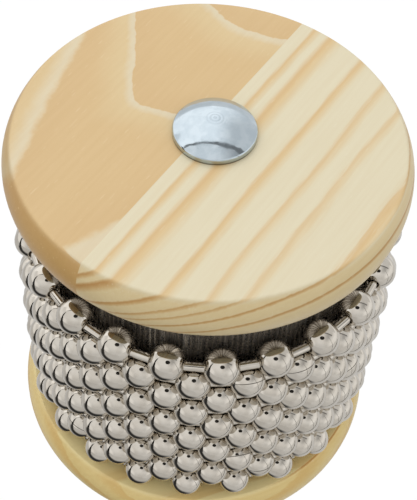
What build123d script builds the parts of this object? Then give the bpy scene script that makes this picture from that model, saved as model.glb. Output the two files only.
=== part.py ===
from build123d import *
from math import cos, pi, sin, sqrt
import os

# A hand cabasa: loops of hollow ball chain hang loosely round a ridged steel drum, which is clamped
# between two wooden discs by a carriage bolt that runs down into the handle. Millimetres, +Z up along
# the drum's axis, origin at the middle of the handle's flat end. The discs were drilled a little off
# their centre, so they stand out further at the front left than at the back right.

# Wooden discs
top_disc_diameter = 80.0
bottom_disc_diameter = 82.0
disc_thickness = 10.8
disc_side_bulge = 2.0
disc_edge_radius = 0.6
disc_off_centre_x = -0.8
disc_off_centre_y = -1.2
glue_line_offset = 2.0
glue_line_angle = 60.0

# Handle
handle_length = 105.0
handle_top_diameter = 25.0
handle_belly_diameter = 29.0
handle_end_diameter = 29.0
handle_edge_radius = 2.0

# Ridged sleeve, rolled from one sheet
sleeve_diameter = 65.6
sleeve_sheet = 0.5
flute_count = 180
flute_depth = 0.35
sleeve_seam = 0.3
core_fit = 0.05

# Ball chains
row_count = 10
beads_per_row = 22
bead_diameter = 7.4
bead_wall = 0.4
link_rod_diameter = 1.8
link_hole_clearance = 0.15
link_head_lip = 0.15
link_head_play = 0.25
bead_running_clearance = 0.3
chain_rest_clearance = 0.4
row_nesting = 2.1
slack_above_chains = 11.1
first_bead_angle = -99.1

# Carriage bolt and the insert that takes its end
bolt_diameter = 6.0
bolt_length = 110.0
bolt_head_diameter = 16.5
bolt_rim_height = 1.2
bolt_dome_height = 2.7
bolt_rim_radius = 0.5
bolt_neck_height = 4.6
bolt_neck_width = 6.5
bolt_end_chamfer = 0.8
neck_fit = 0.05
bolt_hole_clearance = 0.3
bolt_hole_spare_depth = 3.0
insert_diameter = 10.0
insert_length = 16.0
insert_flange_diameter = 13.0
insert_flange_thickness = 1.5
insert_thread_clearance = 0.05
insert_fit = 0.05

# The chain's geometry: bead centres lie on a circle just clear of the sleeve's ridges, and each row
# nests between the beads of the row above, so that neighbouring balls almost touch
bead_radius = bead_diameter / 2
chain_radius = sleeve_diameter / 2 + bead_running_clearance + bead_radius
half_step = pi / beads_per_row
half_step_degrees = 180 / beads_per_row
row_pitch = bead_diameter - row_nesting

# Each link runs from hole to hole of neighbouring beads, and its heads stop behind the holes
link_rod_radius = link_rod_diameter / 2
bead_hole_radius = link_rod_radius + link_hole_clearance
link_head_radius = bead_hole_radius + link_head_lip
hole_outer_reach = sqrt(bead_radius**2 - bead_hole_radius**2)
hole_inner_reach = sqrt((bead_radius - bead_wall) ** 2 - bead_hole_radius**2)
hole_middle_reach = (hole_outer_reach + hole_inner_reach) / 2
link_radius = chain_radius * cos(half_step) + hole_middle_reach * sin(half_step)
link_half_gap = chain_radius * sin(half_step) - hole_middle_reach * cos(half_step)
head_setback = sqrt((link_head_radius + link_head_play) ** 2 - bead_hole_radius**2)
link_head_centre = link_half_gap + (hole_outer_reach - hole_inner_reach) / 2 + head_setback

# Heights, from the handle's end up to the bolt head
bottom_disc_top = handle_length + disc_thickness
lowest_row_height = bottom_disc_top + chain_rest_clearance + bead_radius
highest_row_height = lowest_row_height + (row_count - 1) * row_pitch
drum_top = highest_row_height + bead_radius + slack_above_chains
drum_height = drum_top - bottom_disc_top
top_disc_top = drum_top + disc_thickness
bolt_end = top_disc_top - bolt_length

# Radii of the drum and of the hole that the bolt runs through
sleeve_crest_radius = sleeve_diameter / 2
sleeve_valley_radius = sleeve_crest_radius - flute_depth
core_radius = sleeve_valley_radius - sleeve_sheet - core_fit
bolt_radius = bolt_diameter / 2
bolt_hole_radius = bolt_radius + bolt_hole_clearance

# Where the discs' own centre lies, and how plain solids sit on or hang from a height
disc_place = Pos(disc_off_centre_x, disc_off_centre_y, 0)
standing = (Align.CENTER, Align.CENTER, Align.MIN)
hanging = (Align.CENTER, Align.CENTER, Align.MAX)


def turned(*edges):
    """Revolve a closed half outline, drawn with x as radius and y as height, about the Z axis."""
    return revolve(Plane.XZ * make_face(edges), Axis.Z)


def bolt_hole(bottom, top):
    """The straight hole for the bolt's shank between two heights."""
    return Pos(0, 0, bottom) * Cylinder(bolt_hole_radius, top - bottom, align=standing)


def wooden_disc(diameter, bottom):
    """A flat disc with a swelling side and both rims eased, about its own centre."""
    side_radius = diameter / 2
    rim_radius = side_radius - disc_side_bulge
    top = bottom + disc_thickness
    disc = turned(
        Line((0, bottom), (rim_radius, bottom)),
        ThreePointArc((rim_radius, bottom), (side_radius, bottom + disc_thickness / 2), (rim_radius, top)),
        Line((rim_radius, top), (0, top)),
        Line((0, top), (0, bottom)),
    )
    return disc_place * fillet(disc.edges().filter_by(Plane.XY), disc_edge_radius)


def top_disc_boards():
    """The top disc as two boards that meet along the glue line, holed for the bolt's shank and neck."""
    disc = wooden_disc(top_disc_diameter, drum_top) - bolt_hole(drum_top, top_disc_top)
    neck_hole_width = bolt_neck_width + 2 * neck_fit
    neck_hole = Box(neck_hole_width, neck_hole_width, bolt_neck_height, align=hanging)
    disc -= Pos(0, 0, top_disc_top) * Rot(0, 0, glue_line_angle) * neck_hole
    glue_line = disc_place * Rot(0, 0, glue_line_angle) * Pos(0, glue_line_offset, 0)
    glue_plane = Plane(glue_line * Rot(-90, 0, 0))
    flat_board = split(disc, bisect_by=glue_plane, keep=Keep.TOP)
    quarter_board = split(disc, bisect_by=glue_plane, keep=Keep.BOTTOM)
    return flat_board, quarter_board


def bottom_disc():
    """The lower disc, which the chains rest on."""
    return wooden_disc(bottom_disc_diameter, handle_length) - bolt_hole(handle_length, bottom_disc_top)


def drum_core():
    """The wooden cylinder inside the sleeve."""
    core = Cylinder(core_radius, drum_height, align=standing)
    return Pos(0, 0, bottom_disc_top) * core - bolt_hole(bottom_disc_top, drum_top)


def on_circle(radius, angle):
    """A point in the plane at a radius and an angle from +Y, where the sleeve's seam is."""
    return (-radius * sin(angle), radius * cos(angle))


def fluted_line(inset, first, last):
    """Rounded ridges side by side from one angle to another, set in from the sleeve's face."""
    step = (last - first) / flute_count
    ridges = []
    for flute in range(flute_count):
        start = first + flute * step
        valley = on_circle(sleeve_valley_radius - inset, start)
        crest = on_circle(sleeve_crest_radius - inset, start + step / 2)
        next_valley = on_circle(sleeve_valley_radius - inset, start + step)
        ridges.append(ThreePointArc(valley, crest, next_valley))
    return ridges


def ridged_sleeve():
    """A thin ridged sheet, rolled round until its edges almost meet at the back."""
    first = sleeve_seam / 2 / sleeve_valley_radius
    last = 2 * pi - first
    outside = fluted_line(0, first, last)
    inside = fluted_line(sleeve_sheet, first, last)
    near_edge = Line(outside[0] @ 0, inside[0] @ 0)
    far_edge = Line(outside[-1] @ 1, inside[-1] @ 1)
    section = make_face([*outside, *inside, near_edge, far_edge])
    return Pos(0, 0, bottom_disc_top) * extrude(section, drum_height)


def bead():
    """A hollow pressed ball with two opposed holes, along Z."""
    outer_edge = (bead_hole_radius, hole_outer_reach)
    inner_edge = (bead_hole_radius, hole_inner_reach)
    lower_outer_edge = (bead_hole_radius, -hole_outer_reach)
    lower_inner_edge = (bead_hole_radius, -hole_inner_reach)
    return turned(
        ThreePointArc(outer_edge, (bead_radius, 0), lower_outer_edge),
        Line(lower_outer_edge, lower_inner_edge),
        ThreePointArc(lower_inner_edge, (bead_radius - bead_wall, 0), inner_edge),
        Line(inner_edge, outer_edge),
    )


def link():
    """A dumbbell: a thin rod with a ball head at each end, along Z."""
    neck = link_head_centre - sqrt(link_head_radius**2 - link_rod_radius**2)
    tip = link_head_centre + link_head_radius
    return turned(
        Line((link_rod_radius, -neck), (link_rod_radius, neck)),
        ThreePointArc((link_rod_radius, neck), (link_head_radius, link_head_centre), (0, tip)),
        Line((0, tip), (0, -tip)),
        ThreePointArc((0, -tip), (link_head_radius, -link_head_centre), (link_rod_radius, -neck)),
    )


def ring(piece, radius, height, first_angle):
    """One loop's worth of a piece whose own axis lies along the loop."""
    loop = []
    for place in range(beads_per_row):
        angle = first_angle + 2 * place * half_step_degrees
        loop.append(Rot(0, 0, angle) * Pos(radius, 0, height) * Rot(90, 0, 0) * piece)
    return Compound(children=loop)


def carriage_bolt():
    """A domed head over a square neck and a long shank with a chamfered end."""
    head_radius = bolt_head_diameter / 2
    rim_top = top_disc_top + bolt_rim_height
    dome_top = rim_top + bolt_dome_height
    dome_radius = (head_radius**2 + bolt_dome_height**2) / (2 * bolt_dome_height)
    halfway_drop = dome_radius - sqrt(dome_radius**2 - (head_radius / 2) ** 2)
    head = turned(
        Line((0, top_disc_top), (head_radius, top_disc_top)),
        Line((head_radius, top_disc_top), (head_radius, rim_top)),
        ThreePointArc((head_radius, rim_top), (head_radius / 2, dome_top - halfway_drop), (0, dome_top)),
        Line((0, dome_top), (0, top_disc_top)),
    )
    head = fillet(head.edges().filter_by(Plane.XY).sort_by(Axis.Z)[-1], bolt_rim_radius)
    neck = Box(bolt_neck_width, bolt_neck_width, bolt_neck_height, align=hanging)
    shank = Cylinder(bolt_radius, bolt_length, align=hanging)
    shank = chamfer(shank.edges().filter_by(Plane.XY).sort_by(Axis.Z)[0], bolt_end_chamfer)
    return head + Pos(0, 0, top_disc_top) * (Rot(0, 0, glue_line_angle) * neck + shank)


def threaded_insert():
    """A flanged sleeve, flush with the handle's top, that the bolt screws into."""
    body = Cylinder(insert_diameter / 2, insert_length, align=hanging)
    flange = Cylinder(insert_flange_diameter / 2, insert_flange_thickness, align=hanging)
    thread = Cylinder(bolt_radius + insert_thread_clearance, insert_length, align=hanging)
    return Pos(0, 0, handle_length) * (body + flange - thread)


def handle():
    """A turned grip with a gentle belly, bored from the top for the insert and the bolt's end."""
    top_radius = handle_top_diameter / 2
    belly_radius = handle_belly_diameter / 2
    end_radius = handle_end_diameter / 2
    grip = turned(
        Line((0, 0), (end_radius, 0)),
        ThreePointArc((end_radius, 0), (belly_radius, handle_length / 2), (top_radius, handle_length)),
        Line((top_radius, handle_length), (0, handle_length)),
        Line((0, handle_length), (0, 0)),
    )
    grip = fillet(grip.edges().filter_by(Plane.XY).sort_by(Axis.Z)[0], handle_edge_radius)
    grip -= bolt_hole(bolt_end - bolt_hole_spare_depth, handle_length)
    body_hole = Cylinder(insert_diameter / 2 + insert_fit, insert_length, align=hanging)
    flange_hole = Cylinder(insert_flange_diameter / 2 + insert_fit, insert_flange_thickness, align=hanging)
    return grip - Pos(0, 0, handle_length) * (body_hole + flange_hole)


flat_board, quarter_board = top_disc_boards()
nodes = {
    "top_disc_flat_board": flat_board,
    "top_disc_quarter_board": quarter_board,
    "bottom_disc": bottom_disc(),
    "drum_core": drum_core(),
    "ridged_sleeve": ridged_sleeve(),
    "carriage_bolt": carriage_bolt(),
    "threaded_insert": threaded_insert(),
    "handle": handle(),
}
one_bead = bead()
one_link = link()
for row in range(row_count):
    row_height = highest_row_height - row * row_pitch
    row_angle = first_bead_angle + row * half_step_degrees
    nodes[f"bead_row_{row + 1:02d}"] = ring(one_bead, chain_radius, row_height, row_angle)
    nodes[f"link_row_{row + 1:02d}"] = ring(one_link, link_radius, row_height, row_angle + half_step_degrees)

os.makedirs("parts", exist_ok=True)
for name, shape in nodes.items():
    export_step(shape, f"parts/{name}.step")
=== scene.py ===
import math
import bpy
import numpy as np
from mathutils import Matrix, Vector


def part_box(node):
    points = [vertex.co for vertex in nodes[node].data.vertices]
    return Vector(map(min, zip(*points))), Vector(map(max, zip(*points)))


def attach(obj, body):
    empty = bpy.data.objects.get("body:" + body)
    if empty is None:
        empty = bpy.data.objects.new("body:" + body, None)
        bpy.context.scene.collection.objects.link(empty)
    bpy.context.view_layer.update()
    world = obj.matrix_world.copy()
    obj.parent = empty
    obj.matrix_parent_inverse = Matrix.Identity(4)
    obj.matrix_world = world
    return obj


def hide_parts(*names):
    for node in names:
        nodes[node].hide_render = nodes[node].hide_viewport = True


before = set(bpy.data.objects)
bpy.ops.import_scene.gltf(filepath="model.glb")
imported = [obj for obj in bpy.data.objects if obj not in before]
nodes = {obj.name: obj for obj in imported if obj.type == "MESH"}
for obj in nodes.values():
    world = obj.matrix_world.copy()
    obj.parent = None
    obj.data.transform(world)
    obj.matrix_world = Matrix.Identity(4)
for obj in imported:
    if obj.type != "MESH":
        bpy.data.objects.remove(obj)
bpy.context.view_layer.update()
mm = 0.001


def wholeBox(*names):  # lowest and highest corners of several nodes taken together
    lows, highs = zip(*(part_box(name) for name in names))
    return np.min(lows, axis=0), np.max(highs, axis=0)


def faceMiddle(*names):  # middle of a disc's upper face
    low, high = wholeBox(*names)
    return Vector((*((low + high)[:2] / 2), high[2]))


discMiddle = faceMiddle("top_disc_flat_board", "top_disc_quarter_board")
bottomMiddle = faceMiddle("bottom_disc")
print("frame loaded:", len(nodes), "nodes, disc face at", round(discMiddle.z / mm, 1), "mm")


def addObject(name, data):
    piece = bpy.data.objects.new(name, data)
    bpy.context.scene.collection.objects.link(piece)
    return piece


# Camera: looks down at the disc's face from the front, rolled a little
cameraView = {
    "tilt": 52.9,            # degrees below the horizon
    "roll": 4.3,             # degrees
    "distance": 0.25115,     # from the point that it looks at
    "aim": (0.00127, 0.0, -0.03574),  # that point, from the middle of the disc's face
    "focalPixels": 1164.8,
    "imageHeight": 500,      # pixels, the longer side
    "sensor": 36.0,          # millimetres along the longer side
    "nearest": 0.01,
}


def placeCamera(view):
    tilt = math.radians(view["tilt"])
    roll = math.radians(view["roll"])
    forward = Vector((0, math.cos(tilt), -math.sin(tilt)))
    side = Vector((1, 0, 0))
    up = side.cross(forward)
    axisX = math.cos(roll) * side + math.sin(roll) * up
    axisY = math.cos(roll) * up - math.sin(roll) * side
    data = bpy.data.cameras.new("photoCamera")
    data.sensor_width = view["sensor"]
    data.lens = view["focalPixels"] / view["imageHeight"] * view["sensor"]
    data.clip_start = view["nearest"]
    camera = addObject("photoCamera", data)
    turn = Matrix((axisX, axisY, -forward)).transposed()
    place = discMiddle + Vector(view["aim"]) - view["distance"] * forward
    camera.matrix_world = Matrix.LocRotScale(place, turn, None)
    bpy.context.scene.camera = camera
    return place, forward


cameraPlace, cameraForward = placeCamera(cameraView)
print("camera placed")


# Node helpers
def put(tree, socket, value):  # link a socket, or set a plain value
    if isinstance(value, bpy.types.NodeSocket):
        tree.links.new(value, socket)
    else:
        socket.default_value = value


def add(tree, kind, sockets=None, **settings):
    node = tree.nodes.new("ShaderNode" + kind)
    for name, value in settings.items():
        setattr(node, name, value)
    for key, value in (sockets or {}).items():
        put(tree, node.inputs[key], value)
    return node


def calc(tree, operation, *values):
    return add(tree, "Math", dict(enumerate(values)), operation=operation).outputs[0]


def vectorCalc(tree, operation, *values):
    return add(tree, "VectorMath", dict(enumerate(values)), operation=operation).outputs[0]


def split(tree, vector):
    return add(tree, "SeparateXYZ", {0: vector}).outputs


def length(tree, vector):
    return add(tree, "VectorMath", {0: vector}, operation="LENGTH").outputs["Value"]


def fromAxis(tree, place):  # distance from the upright axis
    return length(tree, vectorCalc(tree, "MULTIPLY", place, (1, 1, 0)))


def ease(tree, value, low, high, start=0.0, end=1.0):  # smooth step from low to high
    sockets = {0: value, 1: low, 2: high, 3: start, 4: end}
    return add(tree, "MapRange", sockets, interpolation_type="SMOOTHSTEP").outputs[0]


def blend(tree, factor, first, second, kind="MIX"):
    sockets = {0: factor, 6: first, 7: second}
    return add(tree, "Mix", sockets, data_type="RGBA", blend_type=kind).outputs[2]


def cloud(tree, place, frequency, detail, output=0):  # noise, in turns per unit along each axis
    stretched = vectorCalc(tree, "MULTIPLY", place, frequency)
    sockets = {"Vector": stretched, "Scale": 1.0, "Detail": detail}
    return add(tree, "TexNoise", sockets).outputs[output]


def waver(tree, value, place, frequency, detail, reach):  # a value, shifted by noise up to half its reach
    centred = calc(tree, "SUBTRACT", cloud(tree, place, frequency, detail), 0.5)
    return calc(tree, "MULTIPLY_ADD", centred, reach, value)


def wander(tree, place, frequency, detail, reach):  # a level shift by noise, up to half its reach
    centred = vectorCalc(tree, "SUBTRACT", cloud(tree, place, frequency, detail, 1), (0.5, 0.5, 0.5))
    return vectorCalc(tree, "MULTIPLY", centred, (reach, reach, 0))


def shade(red, green, blue):  # a display colour, 0 to 255, as linear light
    share = np.array((red, green, blue)) / 255
    linear = np.where(share <= 0.04045, share / 12.92, ((share + 0.055) / 1.055) ** 2.4)
    return (*linear.tolist(), 1.0)


def effect(name, inputs, outputs):  # a node group with its sockets
    tree = bpy.data.node_groups.new(name, "ShaderNodeTree")
    for title, kind in inputs.items():
        tree.interface.new_socket(title, in_out="INPUT", socket_type="NodeSocket" + kind)
    for title, kind in outputs.items():
        tree.interface.new_socket(title, in_out="OUTPUT", socket_type="NodeSocket" + kind)
    return tree, tree.nodes.new("NodeGroupInput").outputs, tree.nodes.new("NodeGroupOutput").inputs


def use(tree, group, sockets):
    node = tree.nodes.new("ShaderNodeGroup")
    node.node_tree = group
    for key, value in sockets.items():
        put(tree, node.inputs[key], value)
    return node.outputs


def newMaterial(name, constants):
    material = bpy.data.materials.new(name)
    material.use_nodes = True
    tree = material.node_tree
    shader = tree.nodes["Principled BSDF"]
    for key, value in constants.items():
        shader.inputs[key].default_value = value
    return material, tree, shader


def objectPlace(tree):
    return tree.nodes.new("ShaderNodeTexCoord").outputs["Object"]


def millimetres(tree, origin=(0, 0, 0), turn=(0, 0, 0)):  # object coordinates in mm, turned in degrees
    sockets = {
        "Vector": objectPlace(tree),
        "Location": tuple(origin),
        "Rotation": tuple(map(math.radians, turn)),
        "Scale": (mm, mm, mm),
    }
    return add(tree, "Mapping", sockets, vector_type="TEXTURE").outputs[0]


def bump(tree, shader, height, strength, depth):  # depth in mm
    sockets = {"Height": height, "Strength": strength, "Distance": depth * mm}
    put(tree, shader.inputs["Normal"], add(tree, "Bump", sockets).outputs[0])


# Effects that several finishes share; a pattern is its turns per mm along each axis, and its detail
fibreLook = {
    "streak": ((0.05, 1.1, 1.1), 5.0),
    "streakFrom": (0.3, 0.7),
    "streakHeight": 0.6,
    "fleck": ((0.28, 2.2, 2.2), 1.0),
    "fleckFrom": (0.67, 0.76),
    "fine": ((0.4, 7.0, 7.0), 2.0),
}
lacquerLook = {
    "patches": ((0.09, 0.09, 0.09), 3.0),
    "patchesFrom": (0.3, 0.7),
    "roughness": (0.32, 0.46),
    "dimples": ((1.3, 1.3, 1.3), 1.0),
}
polishLook = {
    "haze": ((0.45, 0.45, 0.45), 3.0),
    "hazeFrom": (0.35, 0.65),
    "across": ((7.0, 0.5, 1.2), 1.0),
    "acrossFrom": (0.68, 0.78),
    "along": ((0.6, 1.0, 8.0), 1.0),
    "alongFrom": (0.7, 0.8),
    "scuffDepth": 0.5,
}


def makeFibres(look):
    # long streaks and short flecks along x, and the height of the grain
    outputs = {"Streak": "Float", "Fleck": "Float", "Height": "Float"}
    tree, given, made = effect("woodFibres", {"Place": "Vector"}, outputs)
    streak = cloud(tree, given["Place"], *look["streak"])
    fleck = cloud(tree, given["Place"], *look["fleck"])
    fine = cloud(tree, given["Place"], *look["fine"])
    put(tree, made["Streak"], ease(tree, streak, *look["streakFrom"]))
    put(tree, made["Fleck"], ease(tree, fleck, *look["fleckFrom"]))
    put(tree, made["Height"], calc(tree, "MULTIPLY_ADD", streak, look["streakHeight"], fine))
    return tree


def makeLacquer(look):
    # thin varnish: its gloss wanders in soft patches, and its skin is very slightly dimpled
    outputs = {"Roughness": "Float", "Height": "Float"}
    tree, given, made = effect("lacquerSkin", {"Place": "Vector"}, outputs)
    patches = cloud(tree, given["Place"], *look["patches"])
    dimples = cloud(tree, given["Place"], *look["dimples"])
    put(tree, made["Roughness"], ease(tree, patches, *look["patchesFrom"], *look["roughness"]))
    put(tree, made["Height"], dimples)
    return tree


def makePolish(look):
    # bright metal: haze in soft patches, and thin scuffs in two directions
    outputs = {"Haze": "Float", "Scuff": "Float", "Height": "Float"}
    tree, given, made = effect("metalPolish", {"Place": "Vector"}, outputs)
    haze = cloud(tree, given["Place"], *look["haze"])
    across = ease(tree, cloud(tree, given["Place"], *look["across"]), *look["acrossFrom"])
    along = ease(tree, cloud(tree, given["Place"], *look["along"]), *look["alongFrom"])
    scuff = calc(tree, "MAXIMUM", across, along)
    put(tree, made["Haze"], ease(tree, haze, *look["hazeFrom"]))
    put(tree, made["Scuff"], scuff)
    put(tree, made["Height"], calc(tree, "MULTIPLY_ADD", scuff, -look["scuffDepth"], haze))
    return tree


def makeRingEdge():
    # How far a point lies outside a rounded wedge that opens from its tip towards lean: the root of
    # (spread times sideways) squared plus round squared, less round, less the way ahead, plus dip
    # times height.
    inputs = {"Place": "Vector", "Tip": "Vector"}
    inputs.update(dict.fromkeys(("Lean", "Spread", "Round", "Dip"), "Float"))
    tree, given, made = effect("ringEdge", inputs, {"Distance": "Float"})
    turning = {
        "Vector": given["Place"],
        "Center": given["Tip"],
        "Angle": calc(tree, "MULTIPLY", given["Lean"], -1.0),
    }
    turned = add(tree, "VectorRotate", turning, rotation_type="Z_AXIS").outputs[0]
    ahead, sideways, height = split(tree, vectorCalc(tree, "SUBTRACT", turned, given["Tip"]))
    leg = calc(tree, "POWER", calc(tree, "MULTIPLY", sideways, given["Spread"]), 2.0)
    nose = calc(tree, "SQRT", calc(tree, "ADD", leg, calc(tree, "POWER", given["Round"], 2.0)))
    flat = calc(tree, "SUBTRACT", calc(tree, "SUBTRACT", nose, given["Round"]), ahead)
    put(tree, made["Distance"], calc(tree, "MULTIPLY_ADD", height, given["Dip"], flat))
    return tree


fibres = makeFibres(fibreLook)
lacquer = makeLacquer(lacquerLook)
polish = makePolish(polishLook)
ringEdge = makeRingEdge()
print("shared effects made")

# Varnish on all the wood
varnish = {
    "shader": {"Coat Weight": 0.12, "Coat Roughness": 0.2, "Specular IOR Level": 0.35},
    "dimples": 0.3,          # their height against the grain's
    "bump": (0.25, 0.04),    # strength, and depth in mm
    "rimFade": (-0.2, 0.7),  # where a disc's face goes over into its side, in mm from the face's radius
}


def finishWood(tree, shader, colour, along, wood):
    # streaks and flecks over a wood colour, then the varnish
    grain = use(tree, fibres, {"Place": along})
    film = use(tree, lacquer, {"Place": along})
    streak = calc(tree, "MULTIPLY", grain["Streak"], wood["streaks"])
    fleck = calc(tree, "MULTIPLY", grain["Fleck"], wood["flecks"])
    streaked = blend(tree, streak, colour, wood["streakShade"], "MULTIPLY")
    put(tree, shader.inputs["Base Color"], blend(tree, fleck, streaked, wood["fleckShade"]))
    put(tree, shader.inputs["Roughness"], film["Roughness"])
    height = calc(tree, "MULTIPLY_ADD", film["Height"], varnish["dimples"], grain["Height"])
    bump(tree, shader, height, *varnish["bump"])


def onRim(tree, place, faceRadius):  # 1 on the disc's swelling side, 0 on its face
    start, end = varnish["rimFade"]
    return ease(tree, fromAxis(tree, place), faceRadius + start, faceRadius + end)


def ringRadius(tree, along, pith):  # distance from a pith line that runs along the fibres
    fromPith = vectorCalc(tree, "SUBTRACT", along, (0, *pith))
    return length(tree, vectorCalc(tree, "MULTIPLY", fromPith, (0, 1, 1)))


# Tan flat-sawn board: each ring ends in an edge, pale outside it and honey further out. A ring has the
# reach of both bands and the edge's blur in mm, and how far the edge moves out for each mm down.
sharpRing = {"pale": 2.6, "honey": 11.0, "blur": 0.2, "dip": 0.8}
softRing = {"pale": 4.0, "honey": 9.0, "blur": 0.9, "dip": 0.8}
steepRing = {"pale": 12.0, "honey": 14.0, "blur": 1.0, "dip": 14.0}
flatBoard = {
    "tan": shade(223, 191, 138),
    "umber": shade(216, 180, 127),
    "umberStrength": 0.35,
    "honey": shade(228, 204, 155),
    "honeyStrength": 0.8,
    "pale": shade(229, 213, 179),
    # painted shade: the disc's side is darkened, as the lamps light it less than the face
    "rimPaintedShade": shade(230, 216, 188),
    "streakShade": shade(226, 205, 172),
    "fleckShade": shade(238, 216, 172),
    "streaks": 0.1,
    "flecks": 0.3,
    "fibreTurn": 60.0,
    "faceRadius": 38.0,
    "rings": (               # tip in mm from the disc's middle, way it opens, how far its legs fall back
        {**sharpRing, "tip": (3.9, 31.2, 0), "lean": 60, "spread": 0.38},
        {**sharpRing, "tip": (-15.2, 8.2, 0), "lean": 40, "spread": 0.75},
        {**softRing, "tip": (-32.3, 5.0, 0), "lean": -12, "spread": 0.05},
        {**steepRing, "tip": (-19.4, -25.8, 0), "lean": 130, "spread": 0.02},
    ),
    "round": 1.0,
    "darkReach": 9.0,
    "paleFull": 0.5,         # how far outside an edge the bands start to fade
    "honeyFull": 1.0,
    "drift": ((0.11, 0.11, 0.11), 2.0, 2.4),  # of the edges: turns per mm, detail, reach
    "rough": ((0.6, 0.6, 0.6), 2.0, 1.1),
}


def makeFlatBoard(board):
    material, tree, shader = newMaterial("flatSawnPine", varnish["shader"])
    place = millimetres(tree, discMiddle)
    along = millimetres(tree, discMiddle, (0, 0, board["fibreTurn"]))
    drift = wander(tree, place, *board["drift"])
    rough = wander(tree, place, *board["rough"])
    ragged = vectorCalc(tree, "ADD", place, vectorCalc(tree, "ADD", rough, drift))
    dark = pale = honey = 0.0
    for ring in board["rings"]:
        sockets = {
            "Place": ragged,
            "Tip": ring["tip"],
            "Lean": math.radians(ring["lean"]),
            "Spread": ring["spread"],
            "Round": board["round"],
            "Dip": ring["dip"],
        }
        distance = use(tree, ringEdge, sockets)["Distance"]
        outside = ease(tree, distance, -ring["blur"], ring["blur"])
        inside = calc(tree, "SUBTRACT", 1.0, outside)
        nearPale = ease(tree, distance, ring["pale"], board["paleFull"])
        nearHoney = ease(tree, distance, ring["honey"], board["honeyFull"])
        nearDark = ease(tree, distance, -board["darkReach"], 0.0)
        pale = calc(tree, "MAXIMUM", pale, calc(tree, "MULTIPLY", outside, nearPale))
        honey = calc(tree, "MAXIMUM", honey, calc(tree, "MULTIPLY", outside, nearHoney))
        dark = calc(tree, "MAXIMUM", dark, calc(tree, "MULTIPLY", inside, nearDark))
    dark = calc(tree, "MULTIPLY", dark, board["umberStrength"])
    honey = calc(tree, "MULTIPLY", honey, board["honeyStrength"])
    colour = blend(tree, dark, board["tan"], board["umber"])
    colour = blend(tree, honey, colour, board["honey"])
    colour = blend(tree, pale, colour, board["pale"])
    # painted shade over the disc's side, which the lamps light less than its face
    side = onRim(tree, place, board["faceRadius"])
    colour = blend(tree, side, colour, board["rimPaintedShade"], "MULTIPLY")
    finishWood(tree, shader, colour, along, board)
    return material


# Cream board: its rings are wide arcs about a far pith, and cross the face as stripes along the glue line
stripedBoard = {
    "cream": shade(232, 221, 189),
    "honey": shade(230, 207, 158),
    "tan": shade(224, 190, 136),
    # painted shade: the disc's side is darkened and warmed, as the lamps light it less than the face
    "rimPaintedShade": shade(250, 238, 214),
    "rimLine": shade(222, 208, 190),
    "streakShade": shade(232, 216, 186),
    "fleckShade": shade(242, 235, 212),
    "streaks": 0.12,
    "flecks": 0.2,
    "fibreTurn": 60.0,
    "faceRadius": 38.0,
    "pith": (-45.6, -69.7),  # to the left of the disc's middle and up from its face, in mm
    "stripes": (             # outer and inner radius about the pith, and strength
        (82.9, 82.2, 0.95),
        (81.05, 79.8, 1.0),
        (76.95, 76.25, 0.95),
        (74.25, 73.75, 0.75),
        (72.55, 72.15, 0.7),
        (70.45, 70.05, 1.0),
        (67.75, 67.25, 1.0),
    ),
    "innerFade": (-0.5, 0.4),  # from the inner radius, as shares of a stripe's width: cream, then half tan
    "outerFade": (-0.25, 0.2),  # from the outer radius: tan, then cream
    "span": (60.0, 88.0),    # radii of the whole pattern
    "waver": ((0.03, 0.1, 0.1), 2.0, 0.8),  # of the rings: turns per mm, detail, reach
    "fray": ((0.16, 1.6, 1.6), 3.0, 0.35),
}


def stripeStops(board):  # radius and colour along the ramp; the fourth value is the mask of the lines
    cream = np.array((*board["cream"][:3], 0))
    honey = np.array((*board["honey"][:3], 0.5))
    tan = np.array((*board["tan"][:3], 1))
    half = (honey + tan) / 2
    start, rise = board["innerFade"]
    full, end = board["outerFade"]
    stops = []
    for outer, inner, strength in reversed(board["stripes"]):
        width = outer - inner
        stops.append((inner + start * width, cream))
        stops.append((inner + rise * width, cream + (half - cream) * strength))
        stops.append((outer + full * width, cream + (tan - cream) * strength))
        stops.append((outer + end * width, cream))
    return stops


def makeStripedBoard(board):
    material, tree, shader = newMaterial("stripedPine", varnish["shader"])
    along = millimetres(tree, discMiddle, (0, 0, board["fibreTurn"]))
    ring = ringRadius(tree, along, board["pith"])
    ring = waver(tree, ring, along, *board["waver"])
    ring = waver(tree, ring, along, *board["fray"])
    low, high = board["span"]
    ramp = add(tree, "ValToRGB", {0: add(tree, "MapRange", {0: ring, 1: low, 2: high}).outputs[0]})
    elements = ramp.color_ramp.elements
    stops = stripeStops(board)
    for spare in range(len(stops) - len(elements)):
        elements.new(1.0)
    for element, (radius, colour) in zip(elements, stops):
        element.position = (radius - low) / (high - low)
        element.color = colour
    side = onRim(tree, along, board["faceRadius"])
    lines = calc(tree, "MULTIPLY", side, ramp.outputs["Alpha"])
    # painted shade over the disc's side, then the grain lines on it
    colour = blend(tree, side, ramp.outputs["Color"], board["rimPaintedShade"], "MULTIPLY")
    colour = blend(tree, lines, colour, board["rimLine"], "MULTIPLY")
    finishWood(tree, shader, colour, along, board)
    return material


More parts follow.
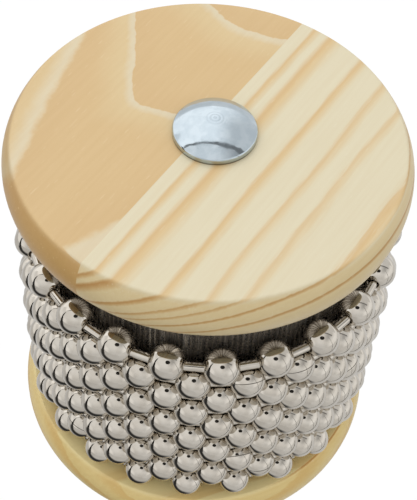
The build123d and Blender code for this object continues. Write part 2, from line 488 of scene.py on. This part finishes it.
# Plain pine: rings about a pith line that runs along the fibres
plainPine = {
    "streakShade": shade(226, 205, 170),
    "fleckShade": shade(240, 224, 184),
    "streaks": 0.15,
    "flecks": 0.25,
    "waver": ((0.012, 0.07, 0.07), 3.0, 7.0),  # of the rings: turns per mm, detail, reach
    "fray": ((0.1, 1.2, 1.2), 3.0, 0.8),
    "lateFrom": (0.35, 0.86),  # late wood grows slowly darker, as shares of a ring, and ends sharply
    "lateTo": (0.99, 0.93),
    "lateStrength": 0.8,
}
bottomDisc = {
    **plainPine,
    "name": "bottomDiscPine",
    "early": shade(248, 229, 168),
    "late": shade(238, 207, 138),
    "turn": (0, 0, 24.0),
    "pith": (9.0, -70.0),    # across and below, in mm
    "spacing": 5.2,
}
handlePine = {
    **plainPine,
    "name": "handlePine",
    "early": shade(229, 211, 165),
    "late": shade(212, 176, 120),
    "turn": (0, -90.0, 0),   # fibres run up the handle
    "pith": (-7.0, 21.0),
    "spacing": 3.6,
}
corePine = {
    **plainPine,
    "name": "corePine",
    "early": shade(226, 208, 164),
    "late": shade(205, 172, 120),
    "turn": (0, -90.0, 0),
    "pith": (5.0, -34.0),
    "spacing": 4.4,
}
bottomSide = {               # painted shade on the side, and a darker line along the crease on the right
    "faceRadius": 39.0,
    "rimPaintedShade": shade(242, 234, 218),
    "creaseShade": shade(206, 168, 112),
    "creaseHalf": 0.35,
    "creaseFrom": (0.0, 15.6),  # to the right of the middle, in mm
}


def shadeSide(tree, colour, along, side):
    faceRadius = side["faceRadius"]
    # painted shade over the disc's side, then a darker line along the crease on the right
    colour = blend(tree, onRim(tree, along, faceRadius), colour, side["rimPaintedShade"], "MULTIPLY")
    away = calc(tree, "ABSOLUTE", calc(tree, "SUBTRACT", fromAxis(tree, along), faceRadius))
    crease = ease(tree, away, side["creaseHalf"], 0.0)
    onRight = ease(tree, split(tree, along)[0], *side["creaseFrom"])
    return blend(tree, calc(tree, "MULTIPLY", crease, onRight), colour, side["creaseShade"], "MULTIPLY")


def makePine(wood, origin, side=None):
    material, tree, shader = newMaterial(wood["name"], varnish["shader"])
    along = millimetres(tree, origin, wood["turn"])
    radius = ringRadius(tree, along, wood["pith"])
    radius = waver(tree, radius, along, *wood["waver"])
    radius = waver(tree, radius, along, *wood["fray"])
    ring = calc(tree, "FRACT", calc(tree, "DIVIDE", radius, wood["spacing"]))
    late = calc(tree, "MULTIPLY", ease(tree, ring, *wood["lateFrom"]), ease(tree, ring, *wood["lateTo"]))
    late = calc(tree, "MULTIPLY", late, wood["lateStrength"])
    colour = blend(tree, late, wood["early"], wood["late"])
    if side:
        colour = shadeSide(tree, colour, along, side)
    finishWood(tree, shader, colour, along, wood)
    return material


# Bright nickel of the chain, with the seam of each bead's rolled strip
nickel = {
    "bright": shade(206, 200, 190),
    "dull": shade(198, 191, 180),
    "roughness": 0.05,
    "hazeRoughness": 0.03,
    "scuffRoughness": 0.1,
    "seam": shade(84, 79, 72),
    "seamFade": (0.03, 0.012),  # sine of the angle from the seam's middle, from plain plate to full seam
    "seamDepth": 40.0,       # against the height of the haze
    "bump": (0.1, 0.006),    # strength, and depth in mm
}


def makeNickel(metal):
    material, tree, shader = newMaterial("brightNickel", {"Metallic": 1.0})
    marks = use(tree, polish, {"Place": millimetres(tree)})
    fromSeam = add(tree, "Attribute", attribute_name="seamSide").outputs["Vector"]
    sine, cosine = split(tree, fromSeam)[:2]  # of the angle from the seam
    near = ease(tree, calc(tree, "ABSOLUTE", sine), *metal["seamFade"])
    seam = calc(tree, "MULTIPLY", near, calc(tree, "GREATER_THAN", cosine, 0.0))
    plate = blend(tree, marks["Haze"], metal["bright"], metal["dull"])
    put(tree, shader.inputs["Base Color"], blend(tree, seam, plate, metal["seam"]))
    rough = calc(tree, "MULTIPLY_ADD", marks["Haze"], metal["hazeRoughness"], metal["roughness"])
    rough = calc(tree, "MULTIPLY_ADD", marks["Scuff"], metal["scuffRoughness"], rough)
    put(tree, shader.inputs["Roughness"], rough)
    height = calc(tree, "MULTIPLY_ADD", seam, -metal["seamDepth"], marks["Height"])
    bump(tree, shader, height, *metal["bump"])
    return material


# Zinc plate: cloudy blue-white, with turning marks in the middle of the bolt's head, and painted shade at
# its foot, where the head meets the disc's face
zinc = {
    "bright": shade(196, 207, 214),
    "cloudy": shade(186, 198, 206),
    "clouds": ((0.16, 0.3, 0.3), 4.0),
    "haze": 0.4,             # its share in the clouds
    "cloudyFrom": (0.45, 0.95),
    "groove": shade(168, 180, 189),
    "grooveStrength": 0.5,
    "swirlPlace": (-0.2, 0.3),  # of the turning marks, in mm from the bolt's axis
    "swirlFade": (2.4, 0.96),  # radii where they start and where they are full
    "swirlPitch": 0.7,
    # painted shade at the head's foot, in place of the shadow in the crevice where it sits on the wood
    "paintedFootShade": shade(104, 94, 78),
    "paintedFootShadeReach": 0.5,       # up the head from the disc's face, in mm
    "roughFrom": (0.35, 0.95),
    "roughness": (0.06, 0.12),
    "scuffRoughness": 0.12,
    "waves": ((0.22, 0.22, 0.22), 2.0),
    "waveHeight": 3.2,
    "markHeight": 0.2,
    "swirlHeight": 0.5,
    "bump": (0.5, 0.05),
}


def makeZinc(metal, name):
    material, tree, shader = newMaterial(name, {"Metallic": 1.0})
    place = millimetres(tree)
    marks = use(tree, polish, {"Place": place})
    mottled = calc(tree, "MULTIPLY_ADD", marks["Haze"], metal["haze"], cloud(tree, place, *metal["clouds"]))
    colour = blend(tree, ease(tree, mottled, *metal["cloudyFrom"]), metal["bright"], metal["cloudy"])
    radius = fromAxis(tree, vectorCalc(tree, "SUBTRACT", place, (*metal["swirlPlace"], 0)))
    wave = calc(tree, "SINE", calc(tree, "MULTIPLY", radius, math.tau / metal["swirlPitch"]))
    inSwirl = ease(tree, radius, *metal["swirlFade"])
    swirl = calc(tree, "MULTIPLY", wave, inSwirl)
    groove = calc(tree, "MULTIPLY", ease(tree, wave, -1.0, 1.0), inSwirl)
    groove = calc(tree, "MULTIPLY", groove, metal["grooveStrength"])
    ringed = blend(tree, groove, colour, metal["groove"])
    # painted shade: the zinc darkens close to the disc's face, in place of the shadow under the head's rim
    aboveFace = calc(tree, "SUBTRACT", split(tree, place)[2], discMiddle.z / mm)
    footShadeMask = ease(tree, calc(tree, "ABSOLUTE", aboveFace), metal["paintedFootShadeReach"], 0.0)
    put(tree, shader.inputs["Base Color"], blend(tree, footShadeMask, ringed, metal["paintedFootShade"]))
    rough = ease(tree, mottled, *metal["roughFrom"], *metal["roughness"])
    rough = calc(tree, "MULTIPLY_ADD", marks["Scuff"], metal["scuffRoughness"], rough)
    put(tree, shader.inputs["Roughness"], rough)
    height = calc(tree, "MULTIPLY", marks["Height"], metal["markHeight"])
    height = calc(tree, "MULTIPLY_ADD", cloud(tree, place, *metal["waves"]), metal["waveHeight"], height)
    height = calc(tree, "MULTIPLY_ADD", swirl, metal["swirlHeight"], height)
    bump(tree, shader, height, *metal["bump"])
    return material


# Ridged steel, dark where it mirrors the shaded gap, with thin paler streaks up the ridges
ridgedSteel = {
    "dark": shade(165, 158, 149),
    "worn": shade(252, 246, 236),
    "metallic": 0.85,
    "streaks": ((1.3, 1.3, 0.012), 2.0),
    "streaksFrom": (0.5, 0.64),
    "patches": ((0.12, 0.12, 0.05), 2.0),
    "patchesFrom": (0.3, 0.7),
    "roughness": 0.22,
    "hazeRoughness": 0.1,
    "wornRoughness": -0.08,
    "markHeight": 0.2,
    "bump": (0.2, 0.04),
}


def makeRidgedSteel(metal):
    material, tree, shader = newMaterial("ridgedSteel", {"Metallic": metal["metallic"]})
    place = millimetres(tree)
    marks = use(tree, polish, {"Place": place})
    streaks = cloud(tree, place, *metal["streaks"])
    rubbed = ease(tree, streaks, *metal["streaksFrom"])
    patches = ease(tree, cloud(tree, place, *metal["patches"]), *metal["patchesFrom"])
    worn = calc(tree, "MULTIPLY", rubbed, patches)
    put(tree, shader.inputs["Base Color"], blend(tree, worn, metal["dark"], metal["worn"]))
    rough = calc(tree, "MULTIPLY_ADD", marks["Haze"], metal["hazeRoughness"], metal["roughness"])
    rough = calc(tree, "MULTIPLY_ADD", worn, metal["wornRoughness"], rough)
    put(tree, shader.inputs["Roughness"], rough)
    height = calc(tree, "MULTIPLY_ADD", marks["Height"], metal["markHeight"], streaks)
    bump(tree, shader, height, *metal["bump"])
    return material


def dress(node, material):
    data = nodes[node].data
    data.materials.clear()
    data.materials.append(material)


dress("top_disc_flat_board", makeFlatBoard(flatBoard))
dress("top_disc_quarter_board", makeStripedBoard(stripedBoard))
dress("bottom_disc", makePine(bottomDisc, bottomMiddle, bottomSide))
dress("handle", makePine(handlePine, (0, 0, 0)))
dress("drum_core", makePine(corePine, (0, 0, 0)))
dress("ridged_sleeve", makeRidgedSteel(ridgedSteel))
dress("carriage_bolt", makeZinc(zinc, "boltZinc"))
dress("threaded_insert", makeZinc(zinc, "insertZinc"))
chainNickel = makeNickel(nickel)
rowNames = sorted(name for name in nodes if name.startswith("bead_row_"))
for rowName in rowNames:
    dress(rowName.replace("bead", "link"), chainNickel)
print("finishes made for", len(nodes) - len(rowNames), "nodes")

# Beads of the chain
beads = {
    "perRow": 22,
    "firstAngle": -99.1,     # degrees, of the top row's first bead
    "lipRadius": 1.25 * mm,  # of the two holes
    "wall": 0.4 * mm,
    "around": 8,             # faces of the cage round a bead
    "along": 7,              # points of the cage from hole to hole
    "crowding": 1.335,       # how much closer they lie towards the holes
    "levels": 2,
    "seed": 7,
    "seamPower": 3,          # odd: the higher, the more seams lie on the side towards the drum
}


def beadCage(bead, radius):
    # Profile: a round arc from lip to lip, its points spaced by a sine. The cage is solved so that its
    # smoothed surface, (before + 4 own + after) / 6 between the lips, meets it.
    end = math.acos(bead["lipRadius"] / radius)
    count, crowding = bead["along"], bead["crowding"]
    angle = end * np.sin(np.linspace(crowding, -crowding, count)) / math.sin(crowding)
    wanted = radius * np.stack([np.cos(angle), np.sin(angle)], axis=1)
    smoothing = (np.eye(count, k=-1) + 4 * np.eye(count) + np.eye(count, k=1)) / 6
    smoothing[[0, -1]] = np.eye(count)[[0, -1]]
    cage = np.linalg.solve(smoothing, wanted)
    cage[:, 0] *= 6 / (4 + 2 * math.cos(math.tau / bead["around"]))
    return cage


def chainCircle(rowName):  # middle of a row, radius of its beads, and radius of the circle that they lie on
    low, high = wholeBox(rowName)
    middle = (low + high) / 2
    beadRadius = (high[2] - low[2]) / 2
    corners = np.empty(len(nodes[rowName].data.vertices) * 3)
    nodes[rowName].data.vertices.foreach_get("co", corners)
    flat = corners.reshape(-1, 3)[:, :2] - middle[:2]
    return middle, beadRadius, np.hypot(flat[:, 0], flat[:, 1]).max() - beadRadius


def beadPoints(bead, rowName, row, turn):
    # A point: the bead's middle on the circle, plus the profile's radius turned between outwards and up,
    # plus its length along the circle's tangent.
    middle, beadRadius, circleRadius = chainCircle(rowName)
    cage = beadCage(bead, beadRadius)
    step = math.tau / bead["perRow"]
    angle = math.radians(bead["firstAngle"]) + row * step / 2 + np.arange(bead["perRow"]) * step
    outwards = np.stack([np.cos(angle), np.sin(angle), 0 * angle], axis=1)
    tangent = np.stack([-np.sin(angle), np.cos(angle), 0 * angle], axis=1)
    upwards = np.array([0.0, 0.0, 1.0])
    spoke = np.cos(turn)[..., None] * outwards[:, None] + np.sin(turn)[..., None] * upwards
    beadMiddle = middle + circleRadius * outwards
    return (
        beadMiddle[:, None, None]
        + cage[:, 0, None] * spoke[:, :, None]
        + cage[:, 1, None] * tangent[:, None, None]
    )


def beadQuads(shape):  # faces of all the cages, each closed round its bead and open at the two holes
    place = np.arange(math.prod(shape)).reshape(shape)
    after = np.roll(place, -1, axis=1)
    quads = np.stack([place[..., :-1], after[..., :-1], after[..., 1:], place[..., 1:]], axis=-1)
    return quads.reshape(-1, 4)


def markSeams(mesh, bead, spins, turn):
    # Seam from hole to hole, where the rolled strip meets: it is turned away from the drum by an odd power
    # of the bead's own turn. The attribute is the sine and cosine of the angle from it.
    seamTurn = math.pi + math.pi * (spins / math.pi - 1) ** bead["seamPower"]
    fromSeam = turn - seamTurn[:, None]
    sides = np.stack([np.sin(fromSeam), np.cos(fromSeam), 0 * fromSeam], axis=-1)
    seamSide = mesh.attributes.new("seamSide", "FLOAT_VECTOR", "POINT")
    seamSide.data.foreach_set("vector", np.repeat(sides[:, :, None], bead["along"], axis=2).ravel())


def makeBeadRow(bead, rowName, row, spins, material):
    turn = spins[:, None] + np.arange(bead["around"]) * math.tau / bead["around"]
    points = beadPoints(bead, rowName, row, turn)
    quads = beadQuads(points.shape[:-1])
    mesh = bpy.data.meshes.new(rowName.replace("bead_row_", "beadRow"))
    mesh.from_pydata(points.reshape(-1, 3), [], quads)
    mesh.polygons.foreach_set("use_smooth", np.ones(len(quads), bool))
    markSeams(mesh, bead, spins, turn)
    mesh.materials.append(material)
    piece = addObject(mesh.name, mesh)
    rounding = piece.modifiers.new("rounding", "SUBSURF")
    rounding.levels = rounding.render_levels = bead["levels"]
    skin = piece.modifiers.new("wall", "SOLIDIFY")
    skin.thickness = bead["wall"]
    skin.offset = -1.0
    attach(piece, "bead_net")
    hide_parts(rowName)


randomTurns = np.random.default_rng(beads["seed"])
for row, rowName in enumerate(rowNames):
    spins = randomTurns.uniform(0, math.tau, beads["perRow"])
    makeBeadRow(beads, rowName, row, spins, chainNickel)
print("bead rows made:", len(rowNames), "of", beads["perRow"], "beads")

# Stage: pale floor, white surroundings, soft light, and the dark and bright things that metal mirrors
white = (1.0, 1.0, 1.0, 1.0)
stage = {
    "floorHalf": 1.5,
    "floorColour": (0.45, 0.45, 0.45, 1.0),
    "floorWhite": 0.85,      # share of plain white that the camera sees in it
    "floorStrength": 1.12,
    "ambient": 0.8,
    "dark": {"Roughness": 0.8, "Base Color": (0.02, 0.018, 0.016, 1.0)},
    "lensSize": (0.062, 0.048),  # half sizes of the dark lens behind the camera
    "lensShift": 0.022,      # to the right
    "lensBehind": 0.02,
    "lensPoints": 32,
    "flagDistance": 0.6,
    "flagMiddle": (0.0, -0.03, 0.14),
    "flagGap": 0.01,         # share of the way down that is kept clear of the floor
    "leastFall": 0.01,       # sine, below which a direction counts as level
}
mirrored = {                 # light that bright metal mirrors; directions as parts of a unit length
    "floor": (0.7, 0.84),    # to the left and to the right
    "floorFrom": (0.03, 0.3),  # where the one goes over into the other
    "horizon": 0.8,
    "overhead": 1.02,
    "overheadFrom": (0.0, 0.65),
    "rightLoss": 0.5,        # share that is lost high up on the right
    "rightFrom": (0.0, 0.65),
    "rightHeight": (0.35, 0.8),
    "sideGlow": 0.3,         # light that is added low down on both sides
    "sideFrom": (0.45, 0.8),
    "sideHeight": (0.45, 0.15),
    "shadowStart": (-0.035, -0.095, 0.0),  # the shadow lies along a line on the floor
    "shadowEnd": (-0.4, -0.16, 0.0),
    "shadowReach": (0.025, 0.105),
    "shadowDepth": 0.95,
}
# Dark strips: left (-1) or right (1), then along each strip the degrees from sideways to the front, the
# degrees up and half the width in degrees
flags = {
    "leftFlag": (
        -1,
        (
            (4.0, 40.0, 2.0),
            (10.0, 20.0, 4.5),
            (15.0, 10.0, 5.8),
            (18.0, 0.0, 7.0),
            (21.0, -10.0, 8.5),
            (24.0, -22.0, 10.0),
        ),
    ),
    "rightFlag": (1, ((28.0, 45.0, 0.7), (28.0, 20.0, 0.8), (27.0, 0.0, 0.8), (27.0, -30.0, 1.0))),
    "lowFlag": (1, ((58.0, -52.0, 4.5), (19.0, -35.0, 4.5), (2.0, -21.0, 3.2), (-10.0, -11.0, 2.4))),
}
backPanel = {                # bright sheet behind and above, with a dark front edge
    "back": 0.5,
    "bottom": 0.315,
    "top": 0.9,
    "front": 0.0,
    "sides": (-0.9, 1.3),
    "brightness": (1.34, 0.8),  # on the left and on the right
    "fade": (-0.05, 0.4),    # where the one goes over into the other
    "edge": (0.02, 0.15),    # width of the dark edge, left and right
    "edgeBrightness": (0.22, 0.22),
}
keyLamp = {"place": (-0.3, 0.35, 0.9), "size": (0.8, 0.8), "power": 1.3}


def stagePiece(name, corners, faces, material):
    mesh = bpy.data.meshes.new(name)
    mesh.from_pydata(corners, [], faces)
    mesh.materials.append(material)
    piece = addObject(name, mesh)
    return piece


def mirroredPiece(name, corners, faces, material):  # a stage piece that only mirrored rays see
    piece = stagePiece(name, corners, faces, material)
    piece.visible_camera = False
    piece.visible_diffuse = False
    piece.visible_shadow = False


def bareMaterial(name):  # an empty node tree with the surface socket to fill
    material = bpy.data.materials.new(name)
    material.use_nodes = True
    tree = material.node_tree
    tree.nodes.clear()
    return material, tree, add(tree, "OutputMaterial").inputs["Surface"]


def seenDirectly(tree):  # 1 for camera, mirror and glass rays, and 1 for mirror rays alone
    path = tree.nodes.new("ShaderNodeLightPath").outputs
    direct = calc(tree, "MAXIMUM", path["Is Camera Ray"], path["Is Glossy Ray"])
    return calc(tree, "MAXIMUM", direct, path["Is Transmission Ray"]), path["Is Glossy Ray"]


def floorShadow(tree, light):  # what is left of the mirrored floor beside a line on it
    start = Vector(light["shadowStart"])
    line = Vector(light["shadowEnd"]) - start
    fromStart = vectorCalc(tree, "SUBTRACT", objectPlace(tree), start)
    dot = add(tree, "VectorMath", {0: fromStart, 1: line / line.length_squared}, operation="DOT_PRODUCT")
    share = add(tree, "Clamp", {0: dot.outputs["Value"]}).outputs[0]
    onLine = add(tree, "VectorMath", {0: line, "Scale": share}, operation="SCALE").outputs[0]
    away = length(tree, vectorCalc(tree, "SUBTRACT", fromStart, onLine))
    return ease(tree, away, *light["shadowReach"], 1.0 - light["shadowDepth"], 1.0)


def makeFloor(setup, light):
    material, tree, surface = bareMaterial("paleFloor")
    direct, glossy = seenDirectly(tree)
    towardsRight = split(tree, objectPlace(tree))[0]
    lit = ease(tree, towardsRight, *light["floorFrom"], *light["floor"])
    shadowed = calc(tree, "MULTIPLY", floorShadow(tree, light), lit)
    level = add(tree, "Mix", {0: glossy, 2: setup["floorStrength"], 3: shadowed}).outputs[0]
    paper = add(tree, "BsdfDiffuse", {"Color": setup["floorColour"]})
    shown = add(tree, "Emission", {"Color": white, "Strength": level})
    share = calc(tree, "MAXIMUM", calc(tree, "MULTIPLY", direct, setup["floorWhite"]), glossy)
    both = add(tree, "MixShader", {0: share, 1: paper.outputs[0], 2: shown.outputs[0]})
    put(tree, surface, both.outputs[0])
    half = setup["floorHalf"]
    corners = [(-half, -half, 0), (half, -half, 0), (half, half, 0), (-half, half, 0)]
    stagePiece("floor", corners, [(0, 1, 2, 3)], material)


def makeWorld(setup, light):
    world = bpy.data.worlds.new("studio")
    bpy.context.scene.world = world
    world.use_nodes = True
    tree = world.node_tree
    direct, glossy = seenDirectly(tree)
    way = split(tree, tree.nodes.new("ShaderNodeTexCoord").outputs["Generated"])
    across, up = way[0], way[2]
    rising = ease(tree, up, *light["overheadFrom"], light["horizon"], light["overhead"])
    right = ease(tree, across, *light["rightFrom"])
    highRight = calc(tree, "MULTIPLY", right, ease(tree, up, *light["rightHeight"]))
    kept = calc(tree, "MULTIPLY_ADD", highRight, -light["rightLoss"], 1.0)
    sideways = ease(tree, calc(tree, "ABSOLUTE", across), *light["sideFrom"])
    low = ease(tree, up, *light["sideHeight"], 0.0, light["sideGlow"])
    shown = calc(tree, "MULTIPLY_ADD", rising, kept, calc(tree, "MULTIPLY", sideways, low))
    plain = ease(tree, direct, 0.0, 1.0, setup["ambient"], 1.0)
    level = add(tree, "Mix", {0: glossy, 2: plain, 3: shown}).outputs[0]
    put(tree, tree.nodes["Background"].inputs["Strength"], level)
    put(tree, tree.nodes["Background"].inputs["Color"], white)


def makeLens(setup, material):  # an ellipse behind the camera, square to its view
    angle = np.linspace(0, math.tau, setup["lensPoints"], endpoint=False)
    side = Vector((1, 0, 0))
    up = side.cross(cameraForward)
    middle = cameraPlace - setup["lensBehind"] * cameraForward + setup["lensShift"] * side
    wide, high = setup["lensSize"]
    rim = np.array(middle) + np.outer(wide * np.cos(angle), side) + np.outer(high * np.sin(angle), up)
    mirroredPiece("darkLens", rim.tolist(), [tuple(range(len(rim)))], material)


def makeFlag(name, side, line, setup, material):
    # a dark strip seen from the chain along a line of directions, cut off where it meets the floor
    turn, rise, half = np.radians(np.array(line)).T
    turns = np.stack([turn - half, turn + half], axis=1)
    rises = np.stack([rise, rise], axis=1)
    level = np.cos(rises)
    direction = np.stack([side * np.cos(turns) * level, -np.sin(turns) * level, np.sin(rises)], axis=-1)
    middle = np.array(setup["flagMiddle"])
    fall = np.maximum(-direction[..., 2], setup["leastFall"])
    reach = np.minimum(setup["flagDistance"], (1 - setup["flagGap"]) * middle[2] / fall)
    points = (middle + reach[..., None] * direction).reshape(-1, 3)
    faces = [(2 * step, 2 * step + 1, 2 * step + 3, 2 * step + 2) for step in range(len(line) - 1)]
    mirroredPiece(name, points.tolist(), faces, material)


def glowing(name, brightness, fade):  # fades from one brightness to another along x
    material, tree, surface = bareMaterial(name)
    level = ease(tree, split(tree, objectPlace(tree))[0], *fade, *brightness)
    glow = add(tree, "Emission", {"Color": white, "Strength": level})
    put(tree, surface, glow.outputs[0])
    return material


def makeBackPanel(panel):  # up from the back, then forwards to the dark edge
    back, front, top = panel["back"], panel["front"], panel["top"]
    left, right = panel["sides"]
    line = ((back, panel["bottom"]), (back, top), (front, top))
    corners = [(x, y, z) for y, z in line for x in (left, right)]
    sheet = glowing("brightPanel", panel["brightness"], panel["fade"])
    mirroredPiece("backPanel", corners, [(0, 1, 3, 2), (2, 3, 5, 4)], sheet)
    wideLeft, wideRight = panel["edge"]
    corners = [
        (left, front, top),
        (right, front, top),
        (right, front - wideRight, top),
        (left, front - wideLeft, top),
    ]
    edge = glowing("panelEdge", panel["edgeBrightness"], panel["fade"])
    mirroredPiece("panelEdge", corners, [(0, 1, 2, 3)], edge)


def addKeyLamp(lamp):
    data = bpy.data.lights.new("keyLamp", "AREA")
    data.shape = "RECTANGLE"
    data.size, data.size_y = lamp["size"]
    data.energy = lamp["power"]
    piece = addObject("keyLamp", data)
    piece.location = lamp["place"]
    piece.rotation_euler = (discMiddle - Vector(lamp["place"])).to_track_quat("-Z", "Y").to_euler()
    piece.visible_glossy = False


makeFloor(stage, mirrored)
makeWorld(stage, mirrored)
darkPaper = newMaterial("darkPaper", stage["dark"])[0]
makeLens(stage, darkPaper)
for flagName, (side, line) in flags.items():
    makeFlag(flagName, side, line, stage, darkPaper)
makeBackPanel(backPanel)
addKeyLamp(keyLamp)
bpy.context.scene.view_settings.view_transform = "Standard"
print("stage and lamps set")
